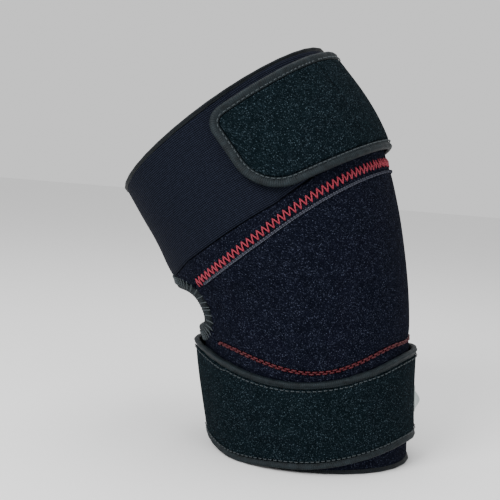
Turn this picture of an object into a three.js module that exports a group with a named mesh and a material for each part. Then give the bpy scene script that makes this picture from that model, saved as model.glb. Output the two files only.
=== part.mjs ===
// Neoprene knee brace: a bent pull-on sleeve with an open window behind the knee and two wrap straps.
// Units are millimetres, +Z is up, and the sleeve stands on its lower rim.
//
// Every piece lies on the outside of one bent, tapering leg, and a place on it has three coordinates:
//   angle   degrees round the leg: 0 is the outer side (-Y), 90 the kneecap (+X), -90 the hollow (-X)
//   along   mm along the leg's centreline, from the lower rim
//   height  mm off the skin
import * as THREE from 'three';

// The leg: half-depths and half-width of its section at stations along the centreline.
const STATIONS = [0, 45, 90, 125, 160, 205];
const HALF_FRONT = [59.5, 55.8, 55.6, 60.2, 66, 65.5];
const HALF_BACK = [45.5, 55.5, 62.5, 71, 72.3, 69];
const HALF_SIDE = [50, 55, 58, 64, 66, 66];
const BEND_START = 56;
const BEND_END = 176;
const BEND_DEG = 40;

// The sleeve
const SLEEVE_LENGTH = 207;
const RIM_BINDING = 2.6;
const GAP = 0.3;
const LINING = { from: 0, thick: 0.8 };
const SHELL = { from: 1, thick: 3 };
const THREAD = { from: 4.3, thick: 0.8 };

// The window behind the knee, measured to the free edge of its binding
const WINDOW = { angle: -90, along: 94.5, halfAngle: 38, halfHeight: 18.5, squareness: 3.2 };
const WINDOW_BINDING = 6;
const WINDOW_CLEAR = 0.7;
const PANEL_END_DEG = 42;

// Seams across the sleeve
const UPPER_SEAM_FRONT = 143.5;
const UPPER_SEAM_FALL = 36;
const LOWER_SEAM_BACK = 67.5;
const LOWER_SEAM_DIP = 11.5;
const SEAM_WIDTH = 4.5;
const CLOSING_SEAM_DEG = 208;

// The straps: each is sewn down at its anchor and ends in a tip that peels open about a fold line.
// Behind the leg the lower strap's bottom edge sags down over the rim.
const STRAP_THICK = 3.2;
const STRAP_BASE = 4.6;
const STRAP_LIFT = 0.5;
const HOOK_THICK = 1;
const UPPER_STRAP = {
  anchor: 200, fold: 62, tip: 3, width: 52.5, binding: 5, stitchInset: 6.6,
  middle: () => 173.75, sag: () => 0,
  tipBase: 6.7, riseSpan: 48, lowCorner: 24, highCorner: 10,
};
const LOWER_STRAP = {
  anchor: 200, fold: -78, tip: -125, width: 49, binding: 3.6, stitchInset: 5.2,
  middle: (angle) => 39 - 12.5 * sideDip(angle, 0, 80), sag: (angle) => 10.2 * bump(angle, -60, 65),
  tipBase: 5.9, riseSpan: 28, lowCorner: 14, highCorner: 14,
};

const COARSE_STEP = 7;
const FINE_STEP = 6;

// ---------------------------------------------------------------- the leg's surface

const profile = (values) => new THREE.CubicInterpolant(STATIONS, values, 1);
const frontProfile = profile(HALF_FRONT);
const backProfile = profile(HALF_BACK);
const sideProfile = profile(HALF_SIDE);
const radians = THREE.MathUtils.degToRad;
const { clamp, lerp, smoothstep } = THREE.MathUtils;

// Centre of the leg's section and how far the section leans back.
function centreline(along) {
  const radius = (BEND_END - BEND_START) / radians(BEND_DEG);
  const lean = radians(BEND_DEG) * clamp((along - BEND_START) / (BEND_END - BEND_START), 0, 1);
  const beyond = Math.max(along - BEND_END, 0);
  return {
    lean,
    x: -radius * (1 - Math.cos(lean)) - beyond * Math.sin(lean),
    z: Math.min(along, BEND_START) + radius * Math.sin(lean) + beyond * Math.cos(lean),
  };
}

function place(angle, along, height) {
  const sine = Math.sin(radians(angle));
  const cosine = Math.cos(radians(angle));
  const depth = (sine > 0 ? frontProfile : backProfile).evaluate(along)[0];
  const side = sideProfile.evaluate(along)[0];
  const normal = new THREE.Vector2(sine / depth, -cosine / side).normalize();
  const inPlane = depth * sine + height * normal.x;
  const { x, z, lean } = centreline(along);
  return new THREE.Vector3(
    x + inPlane * Math.cos(lean),
    -side * cosine + height * normal.y,
    z + inPlane * Math.sin(lean),
  );
}

// 1 at the middle of the outer or inner side of the leg, falling to 0 at reach degrees away from it.
function sideDip(angle, middle, reach) {
  const away = Math.min(Math.abs(angle - middle), Math.abs(angle - 180 + middle), Math.abs(angle + 180 + middle));
  return away < reach ? Math.cos(radians((90 * away) / reach)) ** 2 : 0;
}

// 1 at the middle, falling to 0 at reach degrees away from it.
function bump(angle, middle, reach) {
  const away = Math.abs(angle - middle);
  return away < reach ? Math.cos(radians((90 * away) / reach)) ** 2 : 0;
}

const fromKneecap = (angle) => Math.abs((((angle - 90) % 360) + 540) % 360 - 180);
const fromHollow = (angle) => 180 - fromKneecap(angle);
const mmPerDegree = (angle, along) => place(angle - 0.5, along, 4).distanceTo(place(angle + 0.5, along, 4));
const mmPerAlong = (angle, along) => place(angle, along - 0.5, 4).distanceTo(place(angle, along + 0.5, 4));

// ---------------------------------------------------------------- seam and window outlines

function upperSeam(angle) {
  const share = Math.min(fromKneecap(angle) / 165, 1) ** 1.7;
  return UPPER_SEAM_FRONT - UPPER_SEAM_FALL * (1 - Math.cos(Math.PI * share)) / 2;
}

const lowerSeam = (angle) => LOWER_SEAM_BACK - LOWER_SEAM_DIP * sideDip(angle, 10, 60);
const knitEdge = (angle) => upperSeam(angle) + 7 + clamp(0.21 * (fromKneecap(angle) - 80), 0, 11);

// The window is a rounded rectangle. The cloth round it starts outside its binding, which takes up more
// of the centreline's length than its own width, because the hollow of the bend is the shorter side.
const BINDING_DEG = WINDOW_BINDING / mmPerDegree(WINDOW.angle, WINDOW.along);
const BINDING_ALONG = WINDOW_BINDING / mmPerAlong(WINDOW.angle, WINDOW.along);
const rounded = (share) => Math.max(1 - Math.abs(share) ** WINDOW.squareness, 0) ** (1 / WINDOW.squareness);
const CLOTH_HALF_ANGLE = WINDOW.halfAngle + BINDING_DEG + WINDOW_CLEAR;
const CLOTH_HALF_HEIGHT = WINDOW.halfHeight + BINDING_ALONG + WINDOW_CLEAR;
const clothHalfHeight = (angle) => CLOTH_HALF_HEIGHT * rounded(fromHollow(angle) / CLOTH_HALF_ANGLE);
const clothHalfAngle = (along) => CLOTH_HALF_ANGLE * rounded((along - WINDOW.along) / CLOTH_HALF_HEIGHT);

const aboveWindow = (angle) =>
  fromHollow(angle) < PANEL_END_DEG ? WINDOW.along + clothHalfHeight(angle) : upperSeam(angle) + GAP / 2;
const belowWindow = (angle) =>
  fromHollow(angle) < PANEL_END_DEG ? WINDOW.along - clothHalfHeight(angle) : lowerSeam(angle) - GAP / 2;
const panelEnd = (along) => Math.max(PANEL_END_DEG, clothHalfAngle(along)) + GAP;

// ---------------------------------------------------------------- solids

// A closed body from rings of equal length: each ring is joined to the next, and the ends are capped
// unless the rings close on themselves.
function solidFromRings(rings, closed) {
  const size = rings[0].length;
  const points = rings.flat();
  const index = [];
  const ringCount = closed ? rings.length : rings.length - 1;
  for (let i = 0; i < ringCount; i += 1) {
    const next = (i + 1) % rings.length;
    for (let j = 0; j < size; j += 1) {
      const k = (j + 1) % size;
      index.push(i * size + j, next * size + j, next * size + k);
      index.push(i * size + j, next * size + k, i * size + k);
    }
  }
  if (!closed) {
    capRing(index, 0, size, false);
    capRing(index, (rings.length - 1) * size, size, true);
  }
  const geometry = new THREE.BufferGeometry().setFromPoints(points);
  geometry.setIndex(signedVolume(points, index) < 0 ? index.reverse() : index);
  return geometry;
}

// Rings run out along one face and back along the other, so a cap is a strip between the two.
function capRing(index, start, size, flipped) {
  for (let j = 0; j < size / 2 - 1; j += 1) {
    const quad = [start + j, start + j + 1, start + size - 2 - j, start + size - 1 - j];
    const [a, b, c, d] = flipped ? quad.reverse() : quad;
    index.push(a, b, c, a, c, d);
  }
}

function signedVolume(points, index) {
  let volume = 0;
  for (let i = 0; i < index.length; i += 3) {
    const [a, b, c] = [points[index[i]], points[index[i + 1]], points[index[i + 2]]];
    volume += a.dot(new THREE.Vector3().crossVectors(b, c)) / 6;
  }
  return volume;
}

// The height that a piece starts from is a number, or a function of the angle.
const heightOf = (from) => (typeof from === 'function' ? from : () => from);

// A sheet of cloth. spot(u, v) gives [angle, along] for shares u round the leg and v across the sheet.
function cloth({ shares, rows, closed = false, spot, from, thick }) {
  const rise = heightOf(from);
  const rings = shares.map((u) => {
    const spots = [...Array(rows + 1).keys()].map((row) => spot(u, row / rows));
    const inner = spots.map(([angle, along]) => place(angle, along, rise(angle)));
    const outer = spots.map(([angle, along]) => place(angle, along, rise(angle) + thick));
    return [...inner, ...outer.reverse()];
  });
  return solidFromRings(rings, closed);
}

// A closed band round the leg from edge low(angle) to edge high(angle), stepping cleanly at the breaks.
function band({ low, high, rows, breaks = [], from, thick }) {
  const angles = spread(-90, 270, FINE_STEP).slice(0, -1);
  const kept = angles.filter((angle) => breaks.every((cut) => Math.abs(angle - cut) > 1));
  const edges = breaks.flatMap((cut) => [cut - 0.2, cut + 0.2]);
  const shares = [...kept, ...edges].sort((a, b) => a - b);
  const spot = (angle, v) => [angle, lerp(low(angle), high(angle), v)];
  return cloth({ shares, rows, closed: true, spot, from, thick });
}

// A bead, tape or row of thread along spots [angle, along], flat underneath and rounded on top.
function bead(spots, { width, from, thick, closed = false }) {
  const rise = heightOf(from);
  const shoulder = 0.6;
  const section = [[-0.5, 0], [-0.5, shoulder], [-0.28, 1], [0.28, 1], [0.5, shoulder], [0.5, 0]];
  const rings = spots.map(([angle, along], i) => {
    const before = spots[closed ? (i + spots.length - 1) % spots.length : Math.max(i - 1, 0)];
    const after = spots[closed ? (i + 1) % spots.length : Math.min(i + 1, spots.length - 1)];
    const [round, up] = [mmPerDegree(angle, along), mmPerAlong(angle, along)];
    const forward = new THREE.Vector2((after[0] - before[0]) * round, (after[1] - before[1]) * up).normalize();
    return section.map(([across, share]) => place(
      angle - (across * width * forward.y) / round,
      along + (across * width * forward.x) / up,
      rise(angle) + share * thick,
    ));
  });
  return solidFromRings(rings, closed);
}

function spread(start, end, step) {
  const count = Math.max(1, Math.round(Math.abs(end - start) / step));
  return [...Array(count + 1).keys()].map((i) => lerp(start, end, i / count));
}

// ---------------------------------------------------------------- strap outlines

// How far a strap's rounded tip cuts into its edge, d mm from the end of the tip.
const cornerCut = (d, radius) => (d >= radius ? 0 : radius - Math.sqrt(radius ** 2 - (radius - d) ** 2));

function strapEdge(strap, side, angle, inset = 0) {
  const radius = Math.max((side < 0 ? strap.lowCorner : strap.highCorner) - inset, 0.1);
  const middle = strap.middle(angle);
  const outline = strapLine(strap, side, angle);
  const fromTip = Math.max((angle - strapTip(strap, inset)) * mmPerDegree(angle, middle), 0);
  return outline - (side * (inset + cornerCut(fromTip, radius))) / mmPerAlong(angle, outline);
}

const strapLine = (strap, side, angle) =>
  strap.middle(angle) + (side * strap.width) / 2 - (side < 0 ? strap.sag(angle) : 0);

const strapTip = (strap, inset) => strap.tip + inset / mmPerDegree(strap.tip, strap.middle(strap.tip));

// The strap lies on the sleeve and rises on to the hook patch towards its fold line.
function strapRise(strap, extra = 0) {
  return (angle) => {
    const share = smoothstep(angle, strap.fold, strap.fold + strap.riseSpan);
    return lerp(strap.tipBase, STRAP_BASE, share) + extra;
  };
}

// Angles from the fold line to the tip, closer together where the corners turn.
function tipAngles(strap, inset) {
  const end = strapTip(strap, inset);
  const reach = strap.fold - GAP / 2 - end;
  return [0, 0.02, 0.06, 0.12, 0.2, 0.3, 0.42, 0.56, 0.7, 0.85, 1].map((share) => end + reach * share);
}

function tipOutline(strap, inset) {
  const angles = tipAngles(strap, inset);
  const low = angles.map((angle) => [angle, strapEdge(strap, -1, angle, inset)]);
  const high = angles.map((angle) => [angle, strapEdge(strap, 1, angle, inset)]);
  return [...low.reverse(), ...high];
}

function wrapEdge(strap, side, angle, inset) {
  const outline = strapLine(strap, side, angle);
  return outline - (side * inset) / mmPerAlong(angle, outline);
}

function wrapAngles(strap) {
  return spread(strap.fold + GAP / 2, strap.anchor, COARSE_STEP);
}

function clothTip(strap) {
  const inset = strap.binding + GAP;
  const spot = (angle, v) => [
    angle, lerp(strapEdge(strap, -1, angle, inset), strapEdge(strap, 1, angle, inset), v),
  ];
  return cloth({ shares: tipAngles(strap, inset), rows: 4, spot, from: strapRise(strap), thick: STRAP_THICK });
}

function clothWrap(strap) {
  const inset = strap.binding + 3 * GAP;
  const spot = (angle, v) => [angle, lerp(wrapEdge(strap, -1, angle, inset), wrapEdge(strap, 1, angle, inset), v)];
  return cloth({ shares: wrapAngles(strap), rows: 4, spot, from: strapRise(strap), thick: STRAP_THICK });
}

function wrapBinding(strap, side) {
  const spots = wrapAngles(strap).map((angle) => [angle, wrapEdge(strap, side, angle, strap.binding / 2)]);
  return bead(spots, { width: strap.binding, from: strapRise(strap), thick: STRAP_THICK + STRAP_LIFT });
}

function tipBinding(strap) {
  const spots = tipOutline(strap, strap.binding / 2);
  return bead(spots, { width: strap.binding, from: strapRise(strap), thick: STRAP_THICK + STRAP_LIFT });
}

const STITCH = { width: 1.2, thick: 0.5 };

// A closed row of stitches along a strap between two angles, and back along its other edge.
function stitchLoop(strap, firstAngle, lastAngle, inset) {
  const edge = (side) => (angle) => [angle, wrapEdge(strap, side, angle, inset)];
  const angles = spread(firstAngle, lastAngle, COARSE_STEP);
  const low = angles.map(edge(-1));
  const high = angles.map(edge(1)).reverse();
  const crossing = (start, end) => [0.25, 0.5, 0.75].map((v) => [start[0], lerp(start[1], end[1], v)]);
  const spots = [...low, ...crossing(low.at(-1), high[0]), ...high, ...crossing(high.at(-1), low[0])];
  return bead(spots, { ...STITCH, from: strapRise(strap, STRAP_THICK + 0.2), closed: true });
}

function tipStitch(strap) {
  const spots = tipOutline(strap, strap.stitchInset).filter(([angle]) => angle < strap.fold - 1);
  return bead(spots, { ...STITCH, from: strapRise(strap, STRAP_THICK + 0.2) });
}

const wrapStitch = (strap) => stitchLoop(strap, strap.fold + 2, strap.anchor - 3, strap.stitchInset);
const anchorStitch = (strap) => stitchLoop(strap, strap.anchor - 10, strap.anchor - 5.5, strap.stitchInset + 3);

// A patch of hook or loop tape under a strap's tip.
function patch(strap, firstAngle, lastAngle, from, thick) {
  const half = strap.width / 2 - 9;
  const spot = (angle, v) => [angle, strap.middle(angle) + lerp(-half, half, v)];
  return cloth({ shares: spread(firstAngle, lastAngle, FINE_STEP), rows: 3, spot, from, thick });
}

// ---------------------------------------------------------------- the other pieces

function centrePanel(layer) {
  const shares = spread(0, 1, FINE_STEP / 268);
  const spot = (u, v) => {
    const rough = lerp(lowerSeam(-40), upperSeam(-40), v);
    const end = panelEnd(rough);
    const angle = lerp(WINDOW.angle + end, WINDOW.angle + 360 - end, u);
    return [angle, lerp(lowerSeam(angle) + GAP / 2, upperSeam(angle) - GAP / 2, v)];
  };
  return cloth({ shares, rows: 6, spot, ...layer });
}

function windowBinding() {
  const count = 44;
  const power = 2 / WINDOW.squareness;
  const part = (value) => Math.sign(value) * Math.abs(value) ** power;
  const spots = [...Array(count).keys()].map((i) => {
    const turn = ((i + 0.5) / count) * 2 * Math.PI;
    return [
      WINDOW.angle + (WINDOW.halfAngle + BINDING_DEG / 2) * part(Math.cos(turn)),
      WINDOW.along + (WINDOW.halfHeight + BINDING_ALONG / 2) * part(Math.sin(turn)),
    ];
  });
  return bead(spots, { width: WINDOW_BINDING, from: 0.2, thick: 4.6, closed: true });
}

function rimBinding(along) {
  const spots = spread(-90, 270, FINE_STEP).slice(0, -1).map((angle) => [angle, along]);
  return bead(spots, { width: RIM_BINDING, from: 0, thick: 4.1, closed: true });
}

function seamThread(seam, offset, width, margin, layer) {
  const spots = spread(-90 + margin, 270 - margin, FINE_STEP).map((angle) => [angle, seam(angle) + offset]);
  return bead(spots, { width, ...layer });
}

function closingSeam(start, end) {
  const spots = spread(start, end, 10).map((along) => [CLOSING_SEAM_DEG, along]);
  return bead(spots, { width: 3, ...THREAD });
}

function sizeTag() {
  const spot = (angle, v) => [angle, lerp(26, 42, v)];
  const from = STRAP_BASE + STRAP_THICK + 0.3;
  return cloth({ shares: [101, 106, 111], rows: 2, spot, from, thick: 0.5 });
}

// ---------------------------------------------------------------- materials

const finish = (color, roughness) => new THREE.MeshStandardMaterial({ color, roughness, metalness: 0 });
const KNIT = finish(0x242a36, 0.7);
const LOOP = finish(0x161a24, 0.95);
const STRAP_LOOP = finish(0x161f2a, 0.95);
const LINING_CLOTH = finish(0x2b2d31, 0.85);
const BINDING = finish(0x2c353a, 0.75);
const RED_THREAD = finish(0xbe323c, 0.55);
const GREY_THREAD = finish(0x8d959b, 0.6);
const HOOK_TAPE = finish(0x101114, 0.6);
const TAG = finish(0xb9c4c2, 0.7);

// ---------------------------------------------------------------- assembly

const WINDOW_BREAKS = [WINDOW.angle + PANEL_END_DEG, WINDOW.angle + 360 - PANEL_END_DEG];
const TOP_EDGE = SLEEVE_LENGTH - RIM_BINDING - GAP;
const BOTTOM_EDGE = RIM_BINDING + GAP;

const pieces = {
  thigh_band: [band({ low: (a) => knitEdge(a) + GAP / 2, high: () => TOP_EDGE, rows: 5, ...SHELL }), KNIT],
  thigh_joining_strip: [
    band({ low: aboveWindow, high: (a) => knitEdge(a) - GAP / 2, rows: 3, breaks: WINDOW_BREAKS, ...SHELL }), LOOP],
  thigh_lining: [
    band({ low: aboveWindow, high: () => TOP_EDGE, rows: 6, breaks: WINDOW_BREAKS, ...LINING }), LINING_CLOTH],
  thigh_rim_binding: [rimBinding(SLEEVE_LENGTH - RIM_BINDING / 2), BINDING],
  thigh_closing_seam: [closingSeam(139, TOP_EDGE - 2), GREY_THREAD],
  upper_seam_thread: [seamThread(upperSeam, 0, SEAM_WIDTH, 48, THREAD), RED_THREAD],
  upper_seam_topstitch: [seamThread(upperSeam, -4.8, 1.3, 52, { from: 4.3, thick: 0.6 }), GREY_THREAD],
  upper_strap_wrap: [clothWrap(UPPER_STRAP), STRAP_LOOP],
  upper_wrap_binding_top: [wrapBinding(UPPER_STRAP, 1), BINDING],
  upper_wrap_binding_bottom: [wrapBinding(UPPER_STRAP, -1), BINDING],
  upper_wrap_topstitch: [wrapStitch(UPPER_STRAP), GREY_THREAD],
  upper_anchor_stitch: [anchorStitch(UPPER_STRAP), GREY_THREAD],
  upper_landing_patch: [patch(UPPER_STRAP, 10, 56, 4.3, 0.8), LOOP],
  upper_strap_tip: [clothTip(UPPER_STRAP), STRAP_LOOP],
  upper_tip_binding: [tipBinding(UPPER_STRAP), BINDING],
  upper_tip_topstitch: [tipStitch(UPPER_STRAP), GREY_THREAD],
  upper_hook_patch: [patch(UPPER_STRAP, 14, 48, 5.3, HOOK_THICK), HOOK_TAPE],
  centre_panel: [centrePanel(SHELL), LOOP],
  centre_lining: [centrePanel(LINING), LINING_CLOTH],
  window_binding: [windowBinding(), BINDING],
  shin_band: [band({ low: () => BOTTOM_EDGE, high: belowWindow, rows: 5, breaks: WINDOW_BREAKS, ...SHELL }), LOOP],
  shin_lining: [
    band({ low: () => BOTTOM_EDGE, high: belowWindow, rows: 5, breaks: WINDOW_BREAKS, ...LINING }), LINING_CLOTH],
  shin_rim_binding: [rimBinding(RIM_BINDING / 2), BINDING],
  lower_seam_thread: [seamThread(lowerSeam, 0, SEAM_WIDTH - 1, 48, THREAD), RED_THREAD],
  lower_strap_wrap: [clothWrap(LOWER_STRAP), STRAP_LOOP],
  lower_wrap_binding_top: [wrapBinding(LOWER_STRAP, 1), BINDING],
  lower_wrap_binding_bottom: [wrapBinding(LOWER_STRAP, -1), BINDING],
  lower_wrap_topstitch: [wrapStitch(LOWER_STRAP), GREY_THREAD],
  lower_anchor_stitch: [anchorStitch(LOWER_STRAP), GREY_THREAD],
  lower_strap_tip: [clothTip(LOWER_STRAP), STRAP_LOOP],
  lower_tip_binding: [tipBinding(LOWER_STRAP), BINDING],
  lower_tip_topstitch: [tipStitch(LOWER_STRAP), GREY_THREAD],
  lower_hook_patch: [patch(LOWER_STRAP, -118, -90, 4.5, HOOK_THICK), HOOK_TAPE],
  size_tag: [sizeTag(), TAG],
};

const brace = new THREE.Group();
for (const [name, [geometry, material]] of Object.entries(pieces)) {
  const mesh = new THREE.Mesh(geometry, material.clone());
  mesh.name = name;
  brace.add(mesh);
}

// The origin is the middle of the bounding box, on the floor.
const bounds = new THREE.Box3().setFromObject(brace);
const middle = bounds.getCenter(new THREE.Vector3());
brace.position.set(-middle.x, -middle.y, -bounds.min.z);

const part = new THREE.Group();
part.add(brace);

export default part;
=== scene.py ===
"""Looks of a bent neoprene knee brace: cloth panels, bindings, stitches and wrap straps.

Every piece lies on the outside of one bent, tapering leg, as the CAD solids do. A place on it has three
coordinates: angle, degrees round the leg (0 outer side, 90 kneecap, -90 hollow); along, mm up the leg's
centreline from the lower rim; and height, mm off the skin. place() turns them into metres.
"""

import math

import bmesh
import bpy
import numpy as np
from mathutils import Matrix, Vector


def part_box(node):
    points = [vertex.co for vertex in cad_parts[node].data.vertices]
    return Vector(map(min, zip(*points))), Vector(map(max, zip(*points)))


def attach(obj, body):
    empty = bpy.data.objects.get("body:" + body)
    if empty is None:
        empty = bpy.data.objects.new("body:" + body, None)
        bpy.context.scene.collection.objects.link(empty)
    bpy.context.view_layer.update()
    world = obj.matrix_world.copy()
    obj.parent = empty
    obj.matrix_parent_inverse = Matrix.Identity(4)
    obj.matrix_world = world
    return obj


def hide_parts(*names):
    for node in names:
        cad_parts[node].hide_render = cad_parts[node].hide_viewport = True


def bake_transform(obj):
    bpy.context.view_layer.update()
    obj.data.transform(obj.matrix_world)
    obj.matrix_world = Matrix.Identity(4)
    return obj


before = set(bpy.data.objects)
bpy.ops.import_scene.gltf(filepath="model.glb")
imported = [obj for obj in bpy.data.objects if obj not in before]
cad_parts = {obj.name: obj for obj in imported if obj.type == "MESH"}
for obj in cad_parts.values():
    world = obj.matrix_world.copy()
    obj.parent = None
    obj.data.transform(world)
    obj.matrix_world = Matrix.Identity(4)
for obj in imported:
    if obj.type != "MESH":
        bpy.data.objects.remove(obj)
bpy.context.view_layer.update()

MM = 0.001

# ---------------------------------------------------------------- driving dimensions, mm and degrees

STATIONS = (0, 45, 90, 125, 160, 205)
HALF_FRONT = (59.5, 55.8, 55.6, 60.2, 66, 65.5)
HALF_BACK = (45.5, 55.5, 62.5, 71, 72.3, 69)
HALF_SIDE = (50, 55, 58, 64, 66, 66)
BEND_START = 56
BEND_END = 176
BEND = math.radians(40)
BEND_RADIUS = (BEND_END - BEND_START) / BEND

SLEEVE_LENGTH = 207
RIM_BINDING = 2.6
SHELL_IN, SHELL_OUT = 0.9, 4.0
LINING_OUT = 0.8
SEAM_GAP = 0.3
RIM_TUCK = 0.5  # how far cloth and lining reach in under the rim bindings
PILLOW_RADIUS = 1.7

WINDOW_ANGLE, WINDOW_ALONG = -90, 94.5
WINDOW_HALF_ANGLE, WINDOW_HALF_HEIGHT = 38, 18.5
WINDOW_SQUARENESS = 3.2
WINDOW_BINDING = 6
WINDOW_CLEAR = 0.5
PANEL_END = 42

CLOSING_SEAM = 208
ZIGZAG_WIDTH, ZIGZAG_PITCH = 4.8, 3.55
CHAIN_WIDTH, CHAIN_PITCH = 2.1, 3.75
OVERLOCK_PITCH = 2.8
# The stitches round the window run from near the middle of its binding out on to the cloth.
OVERLOCK_START, OVERLOCK_END = 0.8, 6.6
STITCH, STITCH_GAP = 1.95, 0.8

STRAP_THICK = 3.2
STRAP_BASE = 4.6
UPPER = {
    "anchor": 200, "fold": 62, "tip": 3, "width": 52.5, "binding": 5, "stitch_inset": 4.4, "sag": 0,
    "tip_base": 6.7, "rise": 48, "low_corner": 24, "high_corner": 10,
}
LOWER = {
    "anchor": 200, "fold": -78, "tip": -125, "width": 49, "binding": 3.6, "stitch_inset": 4.7, "sag": 10.2,
    "tip_base": 5.9, "rise": 28, "low_corner": 14, "high_corner": 14,
}

# The CAD bounding box is centred on the origin, so the leg's own axis stands this far from it.
rim_low, rim_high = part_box("shin_rim_binding")
LEG_ORIGIN = (rim_low + rim_high) / 2 - Vector(((HALF_FRONT[0] - HALF_BACK[0]) / 2 * MM, 0, 0))
LEG_ORIGIN.z = 0


# ---------------------------------------------------------------- the leg's surface


def table(values):
    """A smooth curve through the stations."""
    knots, values = np.array(STATIONS, float), np.array(values, float)
    secant = np.diff(values) / np.diff(knots)
    slope = np.concatenate([secant[:1], (secant[:-1] + secant[1:]) / 2, secant[-1:]])

    def at(along):
        i = np.clip(np.searchsorted(knots, along, side="right") - 1, 0, len(knots) - 2)
        span = knots[i + 1] - knots[i]
        t = (along - knots[i]) / span
        rise = values[i + 1] - values[i]
        bend = slope[i] * span - rise, rise - slope[i + 1] * span
        return values[i] + t * rise + t * (1 - t) * ((1 - t) * bend[0] + t * bend[1])

    return at


front_half, back_half, side_half = table(HALF_FRONT), table(HALF_BACK), table(HALF_SIDE)


def place(angle, along, height):
    """Points in the row frame, in metres, for arrays of leg coordinates."""
    angle, along, height = np.broadcast_arrays(*(np.asarray(x, float) for x in (angle, along, height)))
    sine, cosine = np.sin(np.radians(angle)), np.cos(np.radians(angle))
    depth = np.where(sine > 0, front_half(along), back_half(along))
    side = side_half(along)
    normal = np.stack([sine / depth, -cosine / side])
    normal = normal / np.linalg.norm(normal, axis=0)
    in_plane = depth * sine + height * normal[0]
    lean = BEND * np.clip((along - BEND_START) / (BEND_END - BEND_START), 0, 1)
    beyond = np.maximum(along - BEND_END, 0)
    centre_x = -BEND_RADIUS * (1 - np.cos(lean)) - beyond * np.sin(lean)
    centre_z = np.minimum(along, BEND_START) + BEND_RADIUS * np.sin(lean) + beyond * np.cos(lean)
    x = centre_x + in_plane * np.cos(lean)
    y = -side * cosine + height * normal[1]
    z = centre_z + in_plane * np.sin(lean)
    return np.stack([x, y, z], axis=-1) * MM + np.array(LEG_ORIGIN)


def mm_per_degree(angle, along):
    return np.linalg.norm(place(angle + 0.5, along, 4) - place(angle - 0.5, along, 4), axis=-1) / MM


def mm_per_along(angle, along):
    return np.linalg.norm(place(angle, along + 0.5, 4) - place(angle, along - 0.5, 4), axis=-1) / MM


def from_kneecap(angle):
    return np.abs((np.asarray(angle, float) + 90) % 360 - 180)


def from_hollow(angle):
    return 180 - from_kneecap(angle)


def side_dip(angle, middle, reach):
    """1 at the middle of the outer or inner side of the leg, falling to 0 at reach degrees away."""
    angle = np.asarray(angle, float)
    away = np.minimum(np.abs(angle - middle), np.abs(angle - 180 + middle))
    away = np.minimum(away, np.abs(angle + 180 + middle))
    return np.where(away < reach, np.cos(np.radians(90 * away / reach)) ** 2, 0)


def smoothstep(x, start, end):
    t = np.clip((np.asarray(x, float) - start) / (end - start), 0, 1)
    return t * t * (3 - 2 * t)


# ---------------------------------------------------------------- outlines


def upper_seam(angle):
    share = np.minimum(from_kneecap(angle) / 165, 1) ** 1.7
    return 143.5 - 36 * (1 - np.cos(np.pi * share)) / 2


def lower_seam(angle):
    return 67.5 - 11.5 * side_dip(angle, 10, 60)


def knit_edge(angle):
    return upper_seam(angle) + 7 + np.clip(0.21 * (from_kneecap(angle) - 80), 0, 11)


BINDING_DEG = WINDOW_BINDING / mm_per_degree(WINDOW_ANGLE, WINDOW_ALONG)
BINDING_ALONG = WINDOW_BINDING / mm_per_along(WINDOW_ANGLE, WINDOW_ALONG)
CLOTH_HALF_ANGLE = WINDOW_HALF_ANGLE + BINDING_DEG + WINDOW_CLEAR
CLOTH_HALF_HEIGHT = WINDOW_HALF_HEIGHT + BINDING_ALONG + WINDOW_CLEAR


def rounded(share):
    return np.maximum(1 - np.abs(share) ** WINDOW_SQUARENESS, 0) ** (1 / WINDOW_SQUARENESS)


def above_window(angle):
    over = WINDOW_ALONG + CLOTH_HALF_HEIGHT * rounded(from_hollow(angle) / CLOTH_HALF_ANGLE)
    return np.where(from_hollow(angle) < PANEL_END, over, upper_seam(angle) + SEAM_GAP / 2)


def below_window(angle):
    under = WINDOW_ALONG - CLOTH_HALF_HEIGHT * rounded(from_hollow(angle) / CLOTH_HALF_ANGLE)
    return np.where(from_hollow(angle) < PANEL_END, under, lower_seam(angle) - SEAM_GAP / 2)


def panel_end(along):
    wide = CLOTH_HALF_ANGLE * rounded((along - WINDOW_ALONG) / CLOTH_HALF_HEIGHT)
    return np.maximum(PANEL_END, wide) + 0.2


def strap_middle(strap, angle):
    if strap is UPPER:
        return np.full(np.shape(angle), 173.75)
    return 39 - 12.5 * side_dip(angle, 0, 80)


def strap_rise(strap, angle):
    share = smoothstep(angle, strap["fold"], strap["fold"] + strap["rise"])
    return strap["tip_base"] + (STRAP_BASE - strap["tip_base"]) * share


def strap_line(strap, side, angle):
    """A strap's edge. Behind the leg the lower strap's bottom edge sags down over the rim."""
    sag = strap["sag"] * np.cos(np.radians(np.clip(90 * (np.asarray(angle, float) + 60) / 65, -90, 90))) ** 2
    return strap_middle(strap, angle) + side * strap["width"] / 2 - (sag if side < 0 else 0)


def wrap_edge(strap, side, angle, inset):
    outline = strap_line(strap, side, angle)
    return outline - side * inset / mm_per_along(angle, outline)


def tip_end(strap, inset):
    return strap["tip"] + inset / mm_per_degree(strap["tip"], strap_middle(strap, strap["tip"]))


def tip_edge(strap, side, angle, inset):
    """Edge of a strap's rounded tip: the corner is an arc, in mm from the end of the tip."""
    corner = max((strap["low_corner"] if side < 0 else strap["high_corner"]) - inset, 0.1)
    middle = strap_middle(strap, angle)
    outline = strap_line(strap, side, angle)
    reach = np.clip((angle - tip_end(strap, inset)) * mm_per_degree(angle, middle), 0, corner)
    cut = corner - np.sqrt(corner**2 - (corner - reach) ** 2)
    return outline - side * (inset + cut) / mm_per_along(angle, outline)


# ---------------------------------------------------------------- softness of the cloth


def sway(angle, along):
    """Slow swelling and sinking of the stretched foam, in mm."""
    a = np.radians(angle)
    return (
        0.35 * np.sin(3 * a + along / 19)
        + 0.28 * np.sin(5 * a - along / 13 + 1.3)
        + 0.2 * np.sin(2 * a + along / 8.5 + 0.7)
    )


def near(distance, reach):
    return np.exp(-((distance / reach) ** 2))


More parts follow.
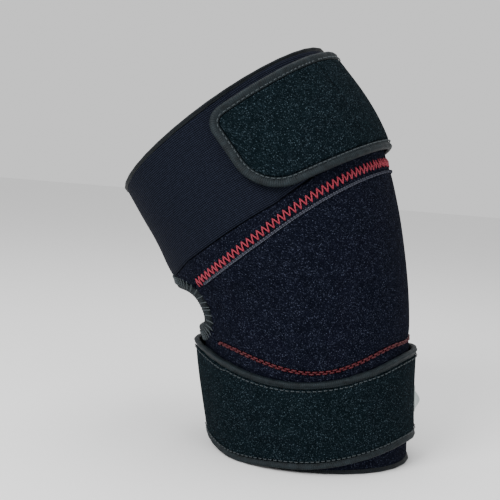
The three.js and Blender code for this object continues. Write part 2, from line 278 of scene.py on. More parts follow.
def seam_pull(angle, along):
    """How far the stitching draws the cloth down beside the two seams, with small puckers."""
    pull = 0
    for seam, width in ((upper_seam, 5.5), (lower_seam, 4.5)):
        distance = (along - seam(angle)) * mm_per_along(angle, along)
        outside = smoothstep(from_hollow(angle), PANEL_END - 4, PANEL_END + 4)
        puckers = 0.16 * np.sin(angle * 1.25) * near(distance, width * 1.8)
        pull = pull + outside * (0.55 * near(distance, width) + puckers)
    return pull


def knee_folds(angle, along):
    """Shallow creases that run from the corners of the window, where the bend presses the cloth."""
    closeness = near(from_hollow(angle) - 62, 18) * near(along - 92, 26)
    return 0.5 * closeness * np.sin((along + 0.35 * from_hollow(angle)) / 2.6)


def body_swell(angle, along):
    return sway(angle, along) - seam_pull(angle, along) + knee_folds(angle, along)


# ---------------------------------------------------------------- meshes


def make_mesh(name, points, faces, uvs, material, caps=0):
    """An object from arrays. uvs holds one pair in metres for each corner of each face.
    The last caps faces close cut ends, so they meet the rest at a sharp edge."""
    mesh = bpy.data.meshes.new(name)
    mesh.from_pydata([tuple(p) for p in points], [], faces)
    layer = mesh.uv_layers.new(name="cloth_metres")
    layer.data.foreach_set("uv", np.asarray(uvs, np.float32).ravel())
    smooth = np.arange(len(faces)) < len(faces) - caps
    mesh.polygons.foreach_set("use_smooth", smooth)
    mesh.materials.append(material)
    piece = bpy.data.objects.new(name, mesh)
    bpy.context.collection.objects.link(piece)
    return piece


def grid_faces(rows, columns, close_rows, close_columns):
    """Quads between the points of a grid, with the corners' places on the cloth for the weave."""
    i = np.arange(rows if close_rows else rows - 1)
    j = np.arange(columns if close_columns else columns - 1)
    i, j = (x.ravel() for x in np.meshgrid(i, j, indexing="ij"))
    corners = [(i, j), (i + 1, j), (i + 1, j + 1), (i, j + 1)]
    faces = np.stack([(a % rows) * columns + b % columns for a, b in corners], axis=1)
    places = np.stack([np.stack([a, b], axis=1) for a, b in corners], axis=1)
    return faces, places


def clustered(count, ends=0.85):
    """Shares from 0 to 1, closer together at both ends, where an edge turns over."""
    t = np.linspace(0, 1, count)
    return t - ends * np.sin(2 * np.pi * t) / (2 * np.pi)


def cloth(name, material, angle, along, inner, outer, closed=False, pillow_ends=(False, False), swell=None):
    """A padded sheet. angle and along are grids: first index round the leg, second across the sheet.
    Its edges are rounded like a pillow's, and the far ends too where asked."""
    swell = 0 if swell is None else swell(angle, along)
    across = np.cumsum(np.diff(along, axis=1, prepend=along[:, :1]) * mm_per_along(angle, along), axis=1)
    across = np.abs(across)
    turned = np.abs(np.diff(angle, axis=0, prepend=angle[:1]))
    round_ = np.cumsum(turned * mm_per_degree(angle, along), axis=0)
    edge = np.minimum(across, across[:, -1:] - across)
    if pillow_ends[0]:
        edge = np.minimum(edge, round_)
    if pillow_ends[1]:
        edge = np.minimum(edge, round_[-1:] - round_)
    fullness = np.sqrt(1 - (1 - np.clip(edge / PILLOW_RADIUS, 0, 1)) ** 2)
    middle, half = (inner + outer) / 2, (outer - inner) / 2
    top = place(angle, along, middle + half * fullness + swell)
    bottom = place(angle, along, middle - half * fullness)
    ring = np.concatenate([top, bottom[:, ::-1]], axis=1)
    v = np.concatenate([across, (across[:, -1:] + 3) + across[:, -1:] - across[:, ::-1]], axis=1)
    u = np.concatenate([round_, round_[:, ::-1]], axis=1)
    rows, columns = ring.shape[:2]
    faces, places = grid_faces(rows, columns, closed, True)
    u = np.concatenate([u, u[-1:] + (u[-1:] - u[-2:-1])]) if closed else u
    v = np.concatenate([v, v[:1]]) if closed else v
    u, v = (np.concatenate([x, x[:, -1:]], axis=1) for x in (u, v))
    uvs = np.stack([u[places[..., 0], places[..., 1]], v[places[..., 0], places[..., 1]]], axis=-1) * MM
    faces, uvs = faces.tolist(), uvs.reshape(-1, 2)
    sides = len(faces)
    if not closed:
        faces, uvs = cap_ends(faces, uvs, rows, columns)
    piece = make_mesh(name, ring.reshape(-1, 3), faces, uvs, material, len(faces) - sides)
    face_outward(piece)
    return piece


def cap_ends(faces, uvs, rows, columns):
    """Close the two ends of a ring grid with strips between its out and back halves."""
    caps = []
    for start, flip in ((0, False), ((rows - 1) * columns, True)):
        for j in range(columns // 2 - 1):
            quad = [start + j, start + j + 1, start + columns - 2 - j, start + columns - 1 - j]
            caps.append(quad[::-1] if flip else quad)
    return faces + caps, np.concatenate([uvs, np.zeros((4 * len(caps), 2))])


class Path:
    """A line on the leg, walked in mm. closed joins its end to its start."""

    def __init__(self, angle, along, closed=False):
        angle, along = np.asarray(angle, float), np.asarray(along, float)
        if closed:
            turns = np.round((angle[-1] - angle[0]) / 360)
            angle, along = np.append(angle, angle[0] + 360 * turns), np.append(along, along[0])
        self.closed = closed
        steps = np.linalg.norm(np.diff(place(angle, along, 4), axis=0), axis=1) / MM
        self.walked = np.concatenate([[0], np.cumsum(steps)])
        self.length = self.walked[-1]
        self.angle, self.along = angle, along

    def spot(self, distance):
        if self.closed:
            distance = distance % self.length
        return np.interp(distance, self.walked, self.angle), np.interp(distance, self.walked, self.along)

    def at(self, distance, across=0):
        """Leg coordinates at a distance along the line and mm to its left."""
        distance = np.asarray(distance, float)
        angle, along = self.spot(distance)
        before, after = self.spot(distance - 0.8), self.spot(distance + 0.8)
        if not self.closed:
            before = self.spot(np.maximum(distance - 0.8, 0))
            after = self.spot(np.minimum(distance + 0.8, self.length))
        round_, up = mm_per_degree(angle, along), mm_per_along(angle, along)
        turn = (after[0] - before[0] + 180) % 360 - 180
        forward = np.stack([turn * round_, (after[1] - before[1]) * up])
        forward = forward / np.maximum(np.linalg.norm(forward, axis=0), 1e-9)
        return angle - across * forward[1] / round_, along + across * forward[0] / up


def sweep(name, material, path, section, step=1.0, modulate=None):
    """A binding or tape. section(distance) gives mm across and height for each point round it."""
    count = max(int(path.length / step), 4)
    distance = np.linspace(0, path.length, count, endpoint=not path.closed)
    across, height = section(distance[:, None])
    angle, along = path.at(np.broadcast_to(distance[:, None], across.shape), across)
    if modulate is not None:
        height = height + modulate(distance[:, None], across)
    ring = place(angle, along, height)
    rows, columns = ring.shape[:2]
    faces, places = grid_faces(rows, columns, path.closed, True)
    uvs = places.reshape(-1, 2) * np.array([path.length / count, 1.2]) * MM
    faces = faces.tolist()
    caps = 0 if path.closed else 2
    if caps:
        faces += [list(range(columns))[::-1], [(rows - 1) * columns + k for k in range(columns)]]
        uvs = np.concatenate([uvs, np.zeros((2 * columns, 2))])
    piece = make_mesh(name, ring.reshape(-1, 3), faces, uvs, material, caps)
    face_outward(piece)
    return piece


def face_outward(piece):
    mesh = bmesh.new()
    mesh.from_mesh(piece.data)
    bmesh.ops.recalc_face_normals(mesh, faces=mesh.faces)
    mesh.to_mesh(piece.data)
    mesh.free()


def threads(name, material, runs, radius, sides=6):
    """Round threads. Each run is a pair of arrays: points in metres, and the way out of the cloth."""
    points, faces, uvs = [], [], []
    turn = np.linspace(0, 2 * np.pi, sides, endpoint=False)
    for centre, outward in runs:
        tangent = np.gradient(centre, axis=0)
        tangent = tangent / np.linalg.norm(tangent, axis=1, keepdims=True)
        side = np.cross(tangent, outward)
        side = side / np.linalg.norm(side, axis=1, keepdims=True)
        up = np.cross(side, tangent)
        walked = np.concatenate([[0], np.cumsum(np.linalg.norm(np.diff(centre, axis=0), axis=1))])
        to_end = np.minimum(walked, walked[-1] - walked) + 0.25 * radius
        size = radius * np.sqrt(1 - (1 - np.clip(to_end / radius, 0, 1)) ** 2)
        around = np.cos(turn)[None, :, None] * up[:, None] + np.sin(turn)[None, :, None] * side[:, None]
        ring = centre[:, None] + size[:, None, None] * around
        start, rows = len(points), len(centre)
        points.extend(ring.reshape(-1, 3))
        quads, places = grid_faces(rows, sides, False, True)
        faces.extend((quads + start).tolist())
        spot = np.stack([walked[places[..., 0]], places[..., 1] * radius], axis=-1)
        uvs.append(spot.reshape(-1, 2))
        faces.append([start + k for k in range(sides)])
        faces.append([start + (rows - 1) * sides + k for k in range(sides)][::-1])
        uvs.append(np.zeros((2 * sides, 2)))
    piece = make_mesh(name, points, faces, np.concatenate(uvs), material)
    face_outward(piece)
    return piece


def thread_run(path, distance, across, height):
    """A run of thread at places along a path. height is a function of leg coordinates, plus a lift."""
    surface, lift = height
    angle, along = path.at(distance, across)
    base = surface(angle, along) + lift
    centre = place(angle, along, base)
    outward = place(angle, along, base + 1) - centre
    return centre, outward / np.linalg.norm(outward, axis=1, keepdims=True)


def dashes(path, length, gap, surface, start=0.0):
    """Stitches laid end to end along a path, dipping into the cloth, every second one deeper."""
    runs = []
    share = np.linspace(0, 1, 6)
    for index, begin in enumerate(np.arange(start, path.length - length, length + gap)):
        sunk = 0.22 * (index % 2)
        arch = 0.2 - sunk + 0.4 * np.sin(np.pi * share)
        runs.append(thread_run(path, begin + length * share, 0, (surface, arch)))
    return runs


def zigzag(path, width, pitch, surface):
    """One long thread that leans forward across the seam and comes steeply back."""
    count = int(path.length / pitch)
    knots = np.arange(count)[:, None] * pitch + np.array([0.0, 0.28, 0.56, 0.8]) * pitch
    sides = np.tile(np.array([-0.5, 0.02, 0.5, -0.02]) * width, (count, 1))
    lifts = np.tile(np.array([0.0, 0.7, 0.05, 0.5]), (count, 1))
    wobble = 1 + 0.07 * np.sin(np.arange(count) * 2.3)[:, None]
    fine = np.arange(0, knots.size - 1, 0.25)
    order = np.arange(knots.size)
    distance, across, lift = (np.interp(fine, order, x.ravel()) for x in (knots, sides * wobble, lifts))
    return [thread_run(path, distance, across, (surface, lift))]


# ---------------------------------------------------------------- materials


def new_material(name, **sockets):
    made = bpy.data.materials.new(name)
    made.use_nodes = True
    shader = made.node_tree.nodes["Principled BSDF"]
    for socket, value in sockets.items():
        shader.inputs[socket.replace("_", " ")].default_value = value
    return made, made.node_tree, shader


def add(tree, kind, inputs=None, **settings):
    """A node with its settings, whose inputs are values or other nodes' outputs."""
    node = tree.nodes.new(kind)
    for key, value in settings.items():
        setattr(node, key, value)
    for key, value in (inputs or {}).items():
        if isinstance(value, bpy.types.NodeSocket):
            tree.links.new(value, node.inputs[key])
        else:
            node.inputs[key].default_value = value
    return node


def cloth_place(tree):
    return add(tree, "ShaderNodeUVMap", uv_map="cloth_metres").outputs["UV"]


def noise(tree, place_, scale, detail=2.0, roughness=0.5):
    inputs = {"Vector": place_, "Scale": scale, "Detail": detail, "Roughness": roughness}
    return add(tree, "ShaderNodeTexNoise", inputs).outputs["Fac"]


def remap(tree, value, low, high, to_low=0.0, to_high=1.0):
    inputs = {"Value": value, "From Min": low, "From Max": high, "To Min": to_low, "To Max": to_high}
    return add(tree, "ShaderNodeMapRange", inputs).outputs["Result"]


def mix(tree, share, first, second, blend_type="MIX"):
    node = add(tree, "ShaderNodeMix", data_type="RGBA", blend_type=blend_type)
    for socket, value in ((0, share), (6, first), (7, second)):
        if isinstance(value, bpy.types.NodeSocket):
            tree.links.new(value, node.inputs[socket])
        else:
            node.inputs[socket].default_value = value
    return node.outputs[2]


def maths(tree, operation, first, second):
    return add(tree, "ShaderNodeMath", {0: first, 1: second}, operation=operation).outputs[0]


def bands(tree, place_, direction, scale, distortion=0.0):
    """Ribs, a period of 0.314 / scale metres apart."""
    inputs = {"Vector": place_, "Scale": scale, "Distortion": distortion, "Detail": 1.0, "Detail Scale": 1.5}
    return add(tree, "ShaderNodeTexWave", inputs, bands_direction=direction).outputs["Fac"]


def bump(tree, shader, height, strength, distance):
    inputs = {"Height": height, "Strength": strength, "Distance": distance}
    tree.links.new(add(tree, "ShaderNodeBump", inputs).outputs["Normal"], shader.inputs["Normal"])


def rgb(red, green, blue):
    return (red, green, blue, 1.0)


def loop_cloth(name, dark, light, glint_colour):
    """Brushed loop pile: a dark nap, mottled by the way the loops lie, with small bright flecks that are
    painted glints of light on the loops.
    """
    made, tree, shader = new_material(name, Roughness=0.95, Specular_IOR_Level=0.02)
    spot = cloth_place(tree)
    nap = noise(tree, spot, 1100, 3.0, 0.8)
    brushed = noise(tree, spot, 140, 3.0, 0.6)
    base = mix(tree, remap(tree, nap, 0.36, 0.66), dark, light)
    base = mix(tree, remap(tree, brushed, 0.35, 0.7, 0.0, 0.6), base, dark)
    # Painted highlight: scattered bright dots in the colour stand for glints of light on the loops.
    for scale, radius, rarity in ((1050.0, 0.4, 3.0), (1800.0, 0.45, 3.5)):
        cells = add(tree, "ShaderNodeTexVoronoi", {"Vector": spot, "Scale": scale})
        glint_dot = remap(tree, cells.outputs["Distance"], radius, radius * 0.3)
        pick = add(tree, "ShaderNodeSeparateColor", {"Color": cells.outputs["Color"]})
        glinting = maths(tree, "POWER", pick.outputs[0], rarity)
        base = mix(tree, maths(tree, "MULTIPLY", glint_dot, glinting), base, glint_colour)
    tree.links.new(base, shader.inputs["Base Color"])
    bump(tree, shader, nap, 0.9, 0.0007)
    return made


def knit_cloth(name, dark, light, pitch_scale=300.0):
    """Smooth nylon knit: fine courses across the band and finer wales, with a soft mottle."""
    made, tree, shader = new_material(name, Roughness=0.8, Specular_IOR_Level=0.03)
    spot = cloth_place(tree)
    courses = bands(tree, spot, "Y", pitch_scale, 1.2)
    wales = bands(tree, spot, "X", pitch_scale * 0.8, 0.8)
    weave = maths(tree, "MULTIPLY", courses, remap(tree, wales, 0.0, 1.0, 0.55, 1.0))
    mottle = noise(tree, spot, 420, 4.0, 0.7)
    shade = maths(tree, "MULTIPLY", weave, remap(tree, mottle, 0.25, 0.75, 0.5, 1.2))
    tree.links.new(mix(tree, shade, dark, light), shader.inputs["Base Color"])
    bump(tree, shader, maths(tree, "ADD", weave, mottle), 0.5, 0.0003)
    return made


def binding_tape(name, dark, light):
    """Folded elastic tape: ribs across it, and paler in patches at random."""
    made, tree, shader = new_material(name, Roughness=0.6, Specular_IOR_Level=0.15)
    spot = cloth_place(tree)
    ribs = bands(tree, spot, "X", 290.0, 0.6)
    pale_patches = noise(tree, spot, 240, 4.0, 0.65)
    shade = maths(tree, "MULTIPLY", remap(tree, ribs, 0.0, 1.0, 0.55, 1.0), remap(tree, pale_patches, 0.3, 0.7))
    tree.links.new(mix(tree, shade, dark, light), shader.inputs["Base Color"])
    bump(tree, shader, ribs, 0.5, 0.0003)
    return made


def thread_yarn(name, dark, light, roughness=0.5):
    """Bulked sewing thread: twisted plies, painted with a highlight on each crest and shade in each groove,
    and fibres paler and darker at random.
    """
    made, tree, shader = new_material(name, Roughness=roughness, Specular_IOR_Level=0.3)
    spot = cloth_place(tree)
    plies = bands(tree, spot, "DIAGONAL", 420.0, 0.4)
    fibres = noise(tree, spot, 2200, 2.0, 0.6)
    # Painted highlight and shade: the ply bands light each crest and darken each groove.
    ply_light_and_shade = remap(tree, plies, 0.0, 1.0, 0.35, 1.0)
    shade = maths(tree, "MULTIPLY", ply_light_and_shade, remap(tree, fibres, 0.25, 0.75, 0.4, 1.2))
    tree.links.new(mix(tree, shade, dark, light), shader.inputs["Base Color"])
    bump(tree, shader, plies, 0.6, 0.0002)
    return made


def hook_tape(name):
    """Moulded hooks: a close grid of stiff points on a ribbed base."""
    made, tree, shader = new_material(name, Roughness=0.5, Specular_IOR_Level=0.25)
    spot = cloth_place(tree)
    grid = maths(tree, "MULTIPLY", bands(tree, spot, "X", 190.0), bands(tree, spot, "Y", 240.0))
    worn = noise(tree, spot, 500, 2.0)
    shade = maths(tree, "MULTIPLY", grid, remap(tree, worn, 0.3, 0.7, 0.5, 1.0))
    base = mix(tree, shade, rgb(0.003, 0.003, 0.004), rgb(0.04, 0.042, 0.046))
    tree.links.new(base, shader.inputs["Base Color"])
    bump(tree, shader, grid, 1.0, 0.0012)
    return made


def tag_ribbon(name):
    """Blank woven ribbon of the small tag."""
    made, tree, shader = new_material(name, Roughness=0.55, Sheen_Weight=0.2)
    spot = cloth_place(tree)
    weave = maths(tree, "MULTIPLY", bands(tree, spot, "X", 500.0), bands(tree, spot, "Y", 700.0))
    soiled = noise(tree, spot, 300, 3.0)
    base = mix(tree, remap(tree, soiled, 0.3, 0.8, 0.0, 0.5), rgb(0.3, 0.35, 0.34), rgb(0.18, 0.21, 0.21))
    tree.links.new(base, shader.inputs["Base Color"])
    bump(tree, shader, weave, 0.4, 0.0002)
    return made


KNIT = knit_cloth("thigh_knit", rgb(0.0012, 0.0015, 0.003), rgb(0.0145, 0.018, 0.031))
LOOP = loop_cloth(
    "sleeve_loop", rgb(0.0012, 0.0016, 0.0036), rgb(0.0058, 0.007, 0.0145), rgb(0.05, 0.058, 0.09)
)
STRAP = loop_cloth(
    "strap_loop", rgb(0.001, 0.0025, 0.0034), rgb(0.0048, 0.0105, 0.014), rgb(0.05, 0.075, 0.092)
)
SEAM_FLUFF = loop_cloth("seam_fluff", rgb(0.008, 0.008, 0.012), rgb(0.05, 0.052, 0.068), rgb(0.2, 0.22, 0.28))
LINING = knit_cloth("lining_jersey", rgb(0.006, 0.007, 0.009), rgb(0.02, 0.022, 0.027), 220.0)
BINDING = binding_tape("edge_binding", rgb(0.002, 0.0036, 0.0048), rgb(0.0115, 0.0185, 0.0225))
DARK_BINDING = binding_tape("rim_binding", rgb(0.0015, 0.0025, 0.0035), rgb(0.006, 0.009, 0.012))
RED = thread_yarn("red_thread", rgb(0.06, 0.003, 0.008), rgb(0.36, 0.03, 0.055))
DEEP_RED = thread_yarn("deep_red_thread", rgb(0.010, 0.0004, 0.0012), rgb(0.085, 0.004, 0.009))
GREY = thread_yarn("grey_thread", rgb(0.005, 0.008, 0.010), rgb(0.042, 0.055, 0.062))
HOOKS = hook_tape("hook_tape")
TAG = tag_ribbon("tag_ribbon")

# ---------------------------------------------------------------- how pieces move


def bend_with_knee(piece):
    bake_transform(piece)


def peel_from(strap):
    def follow(piece):
        fold = np.array([strap["fold"], strap["fold"] - 11])
        start, end = place(fold, strap_middle(strap, fold), 8)
        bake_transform(piece)

    return follow


def ride_on(body):
    return lambda piece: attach(piece, body)


peel_upper = peel_from(UPPER)
peel_lower = peel_from(LOWER)


def finish_piece(piece, node, follow):
    """Put a finished piece in place of its CAD node, which is hidden; follow leaves it in place or puts it on
    its body.
    """
    follow(piece)
    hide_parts(node)
    return piece


# ---------------------------------------------------------------- sleeve panels

ROUND_STEP = 1.5


def body_height(angle, along):
    return SHELL_OUT + body_swell(angle, along)


def ring_grid(low, high, rows, breaks=()):
    """Leg coordinates of a closed band between two edges, stepping cleanly at the breaks."""
    angles = np.arange(-90, 270, ROUND_STEP)
    for cut in breaks:
        angles = angles[np.abs(angles - cut) > 0.6]
        angles = np.append(angles, [cut - 0.2, cut + 0.2])
    angles = np.sort(angles)
    share = clustered(rows)[None, :]
    start, end = low(angles)[:, None], high(angles)[:, None]
    along = start + (end - start) * share
    return np.broadcast_to(angles[:, None], along.shape), along


def panel_grid(rows, columns):
    across = np.linspace(0, 1, columns)[:, None]
    share = clustered(rows)[None, :]
    level = lower_seam(-40) + (upper_seam(-40) - lower_seam(-40)) * share
    end = panel_end(level)
    angle = WINDOW_ANGLE + end + (360 - 2 * end) * across
    low, high = lower_seam(angle) + SEAM_GAP / 2, upper_seam(angle) - SEAM_GAP / 2
    return angle, low + (high - low) * share


def even(value):
    return lambda angle: np.full(np.shape(angle), float(value))


def even_height(value):
    return lambda angle, along: np.full(np.shape(angle), float(value))


WINDOW_BREAKS = (WINDOW_ANGLE + PANEL_END, WINDOW_ANGLE + 360 - PANEL_END)
TOP_EDGE = even(SLEEVE_LENGTH - RIM_BINDING + RIM_TUCK)
BOTTOM_EDGE = even(RIM_BINDING - RIM_TUCK)


def sleeve_panels():
    def knit_low(angle):
        return knit_edge(angle) + SEAM_GAP / 2

    def strip_high(angle):
        return knit_edge(angle) - SEAM_GAP / 2

    grids = {
        "thigh_band": (ring_grid(knit_low, TOP_EDGE, 60), KNIT, "knit", (0.44, 0.068)),
        "thigh_joining_strip": (
            ring_grid(above_window, strip_high, 22, WINDOW_BREAKS), LOOP, "loop", (0.42, 0.013)),
        "shin_band": (ring_grid(BOTTOM_EDGE, below_window, 56, WINDOW_BREAKS), LOOP, "loop", (0.37, 0.06)),
    }
    for node, ((angle, along), material, slot, flat) in grids.items():
        piece = cloth(
            node + "_cloth", material, angle, along, SHELL_IN, SHELL_OUT, closed=True, swell=body_swell
        )
        finish_piece(piece, node, bend_with_knee)
    angle, along = panel_grid(64, 190)
    piece = cloth("centre_panel_cloth", LOOP, angle, along, SHELL_IN, SHELL_OUT, pillow_ends=(True, True),
                  swell=body_swell)
    finish_piece(piece, "centre_panel", bend_with_knee)


def linings():
    edges = {
        "thigh_lining": (above_window, TOP_EDGE, (0.42, 0.08)),
        "shin_lining": (BOTTOM_EDGE, below_window, (0.35, 0.06)),
    }
    for node, (low, high, flat) in edges.items():
        angle, along = ring_grid(low, high, 26, WINDOW_BREAKS)
        piece = cloth(node + "_cloth", LINING, angle, along, 0.0, LINING_OUT, closed=True)
        finish_piece(piece, node, bend_with_knee)
    angle, along = panel_grid(28, 150)
    piece = cloth("centre_lining_cloth", LINING, angle, along, 0.0, LINING_OUT)
    finish_piece(piece, "centre_lining", bend_with_knee)


# ---------------------------------------------------------------- bindings


def rolled_tape(width, base, thick, lip=0.5):
    """Section of a folded tape, its rolled edge to the left of the path, rising lip mm over the cloth."""
    across = np.array([-0.5, -0.5, -0.36, -0.18, 0.04, 0.22, 0.36, 0.46, 0.5, 0.46, 0.34, 0.0, -0.3]) * width
    share = np.array([0.1, 0.86, 0.84, 0.92, 1.0, 1.0, 0.92, 0.74, 0.48, 0.22, 0.08, 0.02, 0.02])
    crest = np.array([0, 0, 0, 0.3, 0.8, 1, 0.9, 0.4, 0, 0, 0, 0, 0]) * lip

    def section(distance):
        shape = np.broadcast_to(across, (len(distance), len(across)))
        return shape, base + share * thick + crest

    return section


def rim_bindings():
    angles = np.arange(-90, 270, 2.0)
    rims = {"shin_rim_binding": (RIM_BINDING / 2, "shin_cuff"),
            "thigh_rim_binding": (SLEEVE_LENGTH - RIM_BINDING / 2, "thigh_cuff")}
    for node, (along, body) in rims.items():
        path = Path(angles, np.full(len(angles), along), closed=True)
        if body == "shin_cuff":
            path = Path(angles[::-1], np.full(len(angles), along), closed=True)
        section = rolled_tape(RIM_BINDING, 0.0, 4.3, 0.25)

        def ripple(distance, across):
            stitched_edge = across < -1
            return 0.12 * np.sin(distance / 1.9) * ~stitched_edge

        piece = sweep(node + "_tape", DARK_BINDING, path, section, 1.2, ripple)
        finish_piece(piece, node, ride_on(body))


def window_binding():
    turn = np.linspace(0, 2 * np.pi, 260, endpoint=False)
    power = 2 / WINDOW_SQUARENESS

    def part(value):
        return np.sign(value) * np.abs(value) ** power

    angle = WINDOW_ANGLE + (WINDOW_HALF_ANGLE + BINDING_DEG / 2) * part(np.cos(turn))
    along = WINDOW_ALONG + (WINDOW_HALF_HEIGHT + BINDING_ALONG / 2) * part(np.sin(turn))
    path = Path(angle, along, closed=True)

    def overlock(distance, across):
        return 0.34 * np.abs(np.sin(np.pi * distance / 1.7)) * (np.abs(across) < 2.4) - 0.1

    section = rolled_tape(WINDOW_BINDING, 0.2, 4.5, 0.5)
    piece = sweep("window_binding_tape", BINDING, path, section, 0.4, overlock)
    finish_piece(piece, "window_binding", bend_with_knee)
    bars = []
    for distance in np.arange(0, path.length, OVERLOCK_PITCH):
        reach = np.linspace(OVERLOCK_START, OVERLOCK_END, 9)
        lift = np.interp(reach, (OVERLOCK_START, 2.6, 3.8, OVERLOCK_END), (5.4, 5.2, 4.6, 4.4))
        bars.append(thread_run(path, np.full(9, distance), -reach, (even_height(0.0), lift)))
    piece = threads("window_overlock", GREY, bars, 0.34 * MM)
    bend_with_knee(piece)


def strap_edges(strap, inset):
    """The tip's outline from fold round to fold, with the outside of the strap on its left."""
    share = (1 - np.cos(np.linspace(0, np.pi / 2, 60)))
    angle = tip_end(strap, inset) + (strap["fold"] - tip_end(strap, inset)) * share
    low, high = (tip_edge(strap, side, angle, inset) for side in (-1, 1))
    return Path(np.concatenate([angle[::-1], angle]), np.concatenate([low[::-1], high]))


def wrap_path(strap, side, inset, start=0.0, end=0.0):
    angle = np.linspace(strap["fold"] + start, strap["anchor"] - end, 160)
    angle = angle if side > 0 else angle[::-1]
    return Path(angle, wrap_edge(strap, side, angle, inset))


def strap_binding(name, node, strap, path, follow):
    def section(distance):
        angle, _ = path.at(distance[:, 0])
        across, height = rolled_tape(strap["binding"], 0.0, STRAP_THICK, 0.55)(distance)
        return across, height + strap_rise(strap, angle)[:, None] + strap_swell(angle, 0)[:, None]

    def gathers(distance, across):
        return 0.1 * np.sin(distance / 1.3) + 0.08 * np.sin(distance / 3.1 + across)

    piece = sweep(name, BINDING, path, section, 0.8, gathers)
    finish_piece(piece, node, follow)


# ---------------------------------------------------------------- straps


def strap_swell(angle, along):
    a = np.radians(angle)
    return 0.22 * np.sin(4 * a + 0.8) + 0.15 * np.sin(9 * a)


def strap_height(strap):
    def surface(angle, along):
        return strap_rise(strap, angle) + STRAP_THICK + strap_swell(angle, along)

    return surface


def strap_cloth(name, node, strap, angles, edge, follow, pillow_ends):
    inset = strap["binding"] + 0.15
    share = clustered(46)[None, :]
    low, high = (edge(strap, side, angles, inset)[:, None] for side in (-1, 1))
    along = low + (high - low) * share
    angle = np.broadcast_to(angles[:, None], along.shape)
    rise = strap_rise(strap, angle)
    top = rise + STRAP_THICK
    piece = cloth(name, STRAP, angle, along, rise, top, pillow_ends=pillow_ends, swell=strap_swell)
    finish_piece(piece, node, follow)


def straps():
    moves = {
        "upper": (UPPER, bend_with_knee, peel_upper, (0.165, 0.0425), (0.063, 0.0425)),
        "lower": (LOWER, ride_on("shin_cuff"), peel_lower, (0.3, 0.039), (0.045, 0.036)),
    }
    for which, (strap, wrap_move, tip_move, wrap_flat, tip_flat) in moves.items():
        angles = np.arange(strap["fold"], strap["anchor"], ROUND_STEP)
        strap_cloth(f"{which}_wrap_cloth", f"{which}_strap_wrap", strap, angles, wrap_edge, wrap_move,
                    (False, True))
        share = 1 - np.cos(np.linspace(0, np.pi / 2, 56))
        end = tip_end(strap, strap["binding"] + 0.15)
        angles = end + (strap["fold"] - end) * share
        strap_cloth(f"{which}_tip_cloth", f"{which}_strap_tip", strap, angles, tip_edge, tip_move,
                    (True, False))
        for side, edge in ((1, "top"), (-1, "bottom")):
            path = wrap_path(strap, side, strap["binding"] / 2)
            strap_binding(f"{which}_{edge}_tape", f"{which}_wrap_binding_{edge}", strap, path, wrap_move)
        strap_binding(f"{which}_tip_tape", f"{which}_tip_binding", strap,
                      strap_edges(strap, strap["binding"] / 2), tip_move)
        strap_stitches(which, strap, wrap_move, tip_move)


def strap_stitches(which, strap, wrap_move, tip_move):
    surface = strap_height(strap)
    rows = []
    for side in (1, -1):
        row = wrap_path(strap, side, strap["stitch_inset"], 1.0, 3.0)
        rows += dashes(row, STITCH, STITCH_GAP, surface)
    piece = threads(f"{which}_wrap_stitches", GREY, rows, 0.3 * MM)
    finish_piece(piece, f"{which}_wrap_topstitch", wrap_move)
    runs = dashes(strap_edges(strap, strap["stitch_inset"]), STITCH, STITCH_GAP, surface)
    piece = threads(f"{which}_tip_stitches", GREY, runs, 0.3 * MM)
    finish_piece(piece, f"{which}_tip_topstitch", tip_move)
    anchor = strap["anchor"]
    half = strap["width"] / 2 - strap["stitch_inset"] - 3
    runs = []
    for turn in (-10.0, -7.5, -5.0):
        along = strap_middle(strap, np.full(20, anchor + turn)) + np.linspace(-half, half, 20)
        runs += dashes(Path(np.full(20, anchor + turn), along), 2.1, 0.6, surface)
    piece = threads(f"{which}_anchor_stitches", GREY, runs, 0.3 * MM)
    finish_piece(piece, f"{which}_anchor_stitch", wrap_move)


def patches():
    """Hook and loop tape hidden under the tips until they are peeled open."""
    places = (
        ("upper_landing_patch", LOOP, "loop", UPPER, 10, 56, 4.25, 5.1, bend_with_knee, (0.056, 0.034)),
        ("upper_hook_patch", HOOKS, "hook_tape", UPPER, 14, 48, 5.6, 6.6, peel_upper, (0.042, 0.034)),
        ("lower_hook_patch", HOOKS, "hook_tape", LOWER, -118, -90, 4.8, 5.8, peel_lower, (0.028, 0.028)),
    )
    for node, material, slot, strap, start, end, low, high, follow, flat in places:
        half = strap["width"] / 2 - 9
        angles = np.linspace(start, end, 40)[:, None]
        along = strap_middle(strap, angles) + np.linspace(-half, half, 30)[None, :]
        angle = np.broadcast_to(angles, along.shape)
        piece = cloth(node + "_tape", material, angle, along, low, high, pillow_ends=(True, True))
        finish_piece(piece, node, follow)


def size_tag():
    angles = np.linspace(101, 111, 16)[:, None]
    along = np.broadcast_to(np.linspace(26, 42, 20)[None, :], (16, 20))
    angle = np.broadcast_to(angles, along.shape)
    base = STRAP_BASE + STRAP_THICK + strap_swell(angle, along) + 0.15
    corner = np.exp(-(((along - 31) / 6) ** 2))
    curl = 0.4 + 5.6 * corner * np.clip((angle - 101) / 10, 0, 1) ** 1.5
    piece = cloth("size_tag_ribbon", TAG, angle, along, base + curl, base + curl + 0.45)
    finish_piece(piece, "size_tag", ride_on("shin_cuff"))


# ---------------------------------------------------------------- seams


def seam_path(seam, offset, margin):
    angle = np.linspace(-90 + margin, 270 - margin, 320)
    return Path(angle, seam(angle) + offset)


def upper_seam_threads():
    path = seam_path(upper_seam, -0.3, 46.5)
    runs = zigzag(path, ZIGZAG_WIDTH, ZIGZAG_PITCH, body_height)
    piece = threads("upper_seam_zigzag", RED, runs, 0.43 * MM)
    finish_piece(piece, "upper_seam_thread", bend_with_knee)
    path = seam_path(upper_seam, -4.3, 52)
    piece = threads("upper_seam_fluff", SEAM_FLUFF, dashes(path, 2.3, -0.5, body_height), 0.85 * MM)
    finish_piece(piece, "upper_seam_topstitch", bend_with_knee)


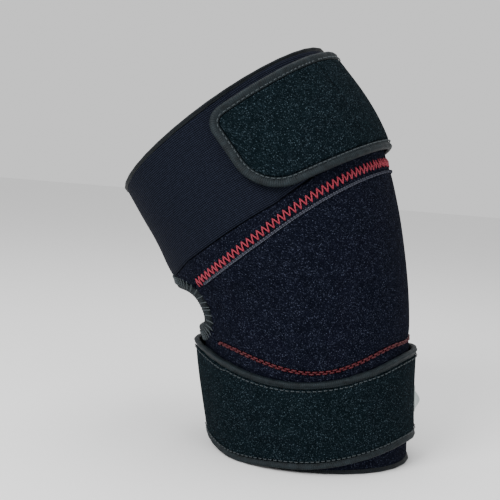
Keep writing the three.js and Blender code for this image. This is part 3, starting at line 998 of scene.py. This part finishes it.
def lower_seam_threads():
    """Two rows of short stitches side by side, half a stitch out of step."""
    path = seam_path(lower_seam, 0, 46.5)
    runs = []
    for side, start in ((-0.5, 0.0), (0.5, CHAIN_PITCH / 2)):
        line = Path(*path.at(np.linspace(0, path.length, 400), side * CHAIN_WIDTH / 2))
        runs += dashes(line, CHAIN_PITCH * 0.82, CHAIN_PITCH * 0.18, body_height, start)
    piece = threads("lower_seam_chain", DEEP_RED, runs, 0.52 * MM)
    finish_piece(piece, "lower_seam_thread", bend_with_knee)


def closing_seam():
    along = np.linspace(139, SLEEVE_LENGTH - RIM_BINDING - 2.3, 60)
    path = Path(np.full(60, float(CLOSING_SEAM)), along)
    piece = threads("thigh_closing_zigzag", GREY, zigzag(path, 2.8, 2.2, body_height), 0.3 * MM)
    finish_piece(piece, "thigh_closing_seam", bend_with_knee)


# ---------------------------------------------------------------- studio

CAMERA_TARGET = Vector((-40, 0, 114)) * MM
CAMERA_DISTANCE = 0.6
CAMERA_TURN = math.radians(14)
CAMERA_RISE = math.radians(5)
CAMERA_ROLL = math.radians(4.2)


def camera():
    back = Vector((
        math.sin(CAMERA_TURN) * math.cos(CAMERA_RISE),
        -math.cos(CAMERA_TURN) * math.cos(CAMERA_RISE),
        math.sin(CAMERA_RISE),
    ))
    right = Vector((math.cos(CAMERA_TURN), math.sin(CAMERA_TURN), 0))
    up = back.cross(right)
    rolled_right = right * math.cos(CAMERA_ROLL) + up * math.sin(CAMERA_ROLL)
    rolled_up = up * math.cos(CAMERA_ROLL) - right * math.sin(CAMERA_ROLL)
    data = bpy.data.cameras.new("camera")
    data.sensor_width = 36
    data.lens = 72
    data.clip_start = 0.01
    eye = bpy.data.objects.new("camera", data)
    bpy.context.collection.objects.link(eye)
    turn = Matrix((rolled_right, rolled_up, back)).transposed().to_4x4()
    eye.matrix_world = Matrix.Translation(LEG_ORIGIN + CAMERA_TARGET + back * CAMERA_DISTANCE) @ turn
    bpy.context.scene.camera = eye


def softbox(name, place_, size, power, colour=(1, 1, 1)):
    data = bpy.data.lights.new(name, "AREA")
    data.shape = "RECTANGLE"
    data.size, data.size_y = size
    data.energy = power
    data.color = colour
    lamp = bpy.data.objects.new(name, data)
    bpy.context.collection.objects.link(lamp)
    lamp.location = place_
    aim = Vector((0, 0, 0.12)) - Vector(place_)
    lamp.rotation_euler = aim.to_track_quat("-Z", "Y").to_euler()


def studio():
    mesh = bpy.data.meshes.new("floor")
    mesh.from_pydata([(-4, -4, 0), (4, -4, 0), (4, 4, 0), (-4, 4, 0)], [], [(0, 1, 2, 3)])
    made, _, shader = new_material("floor", Roughness=0.9)
    shader.inputs["Base Color"].default_value = rgb(0.86, 0.86, 0.86)
    mesh.materials.append(made)
    floor = bpy.data.objects.new("floor", mesh)
    bpy.context.collection.objects.link(floor)
    world = bpy.data.worlds.new("studio")
    world.use_nodes = True
    world.node_tree.nodes["Background"].inputs[0].default_value = rgb(1, 1, 1)
    world.node_tree.nodes["Background"].inputs[1].default_value = 0.9
    bpy.context.scene.world = world
    softbox("key", (-0.35, -0.9, 0.75), (0.5, 0.5), 14)
    softbox("fill", (0.8, -0.7, 0.4), (0.6, 0.8), 4)
    softbox("top", (0.0, 0.1, 1.1), (0.8, 0.8), 6)


sleeve_panels()
linings()
rim_bindings()
window_binding()
straps()
patches()
size_tag()
upper_seam_threads()
lower_seam_threads()
closing_seam()
camera()
studio()
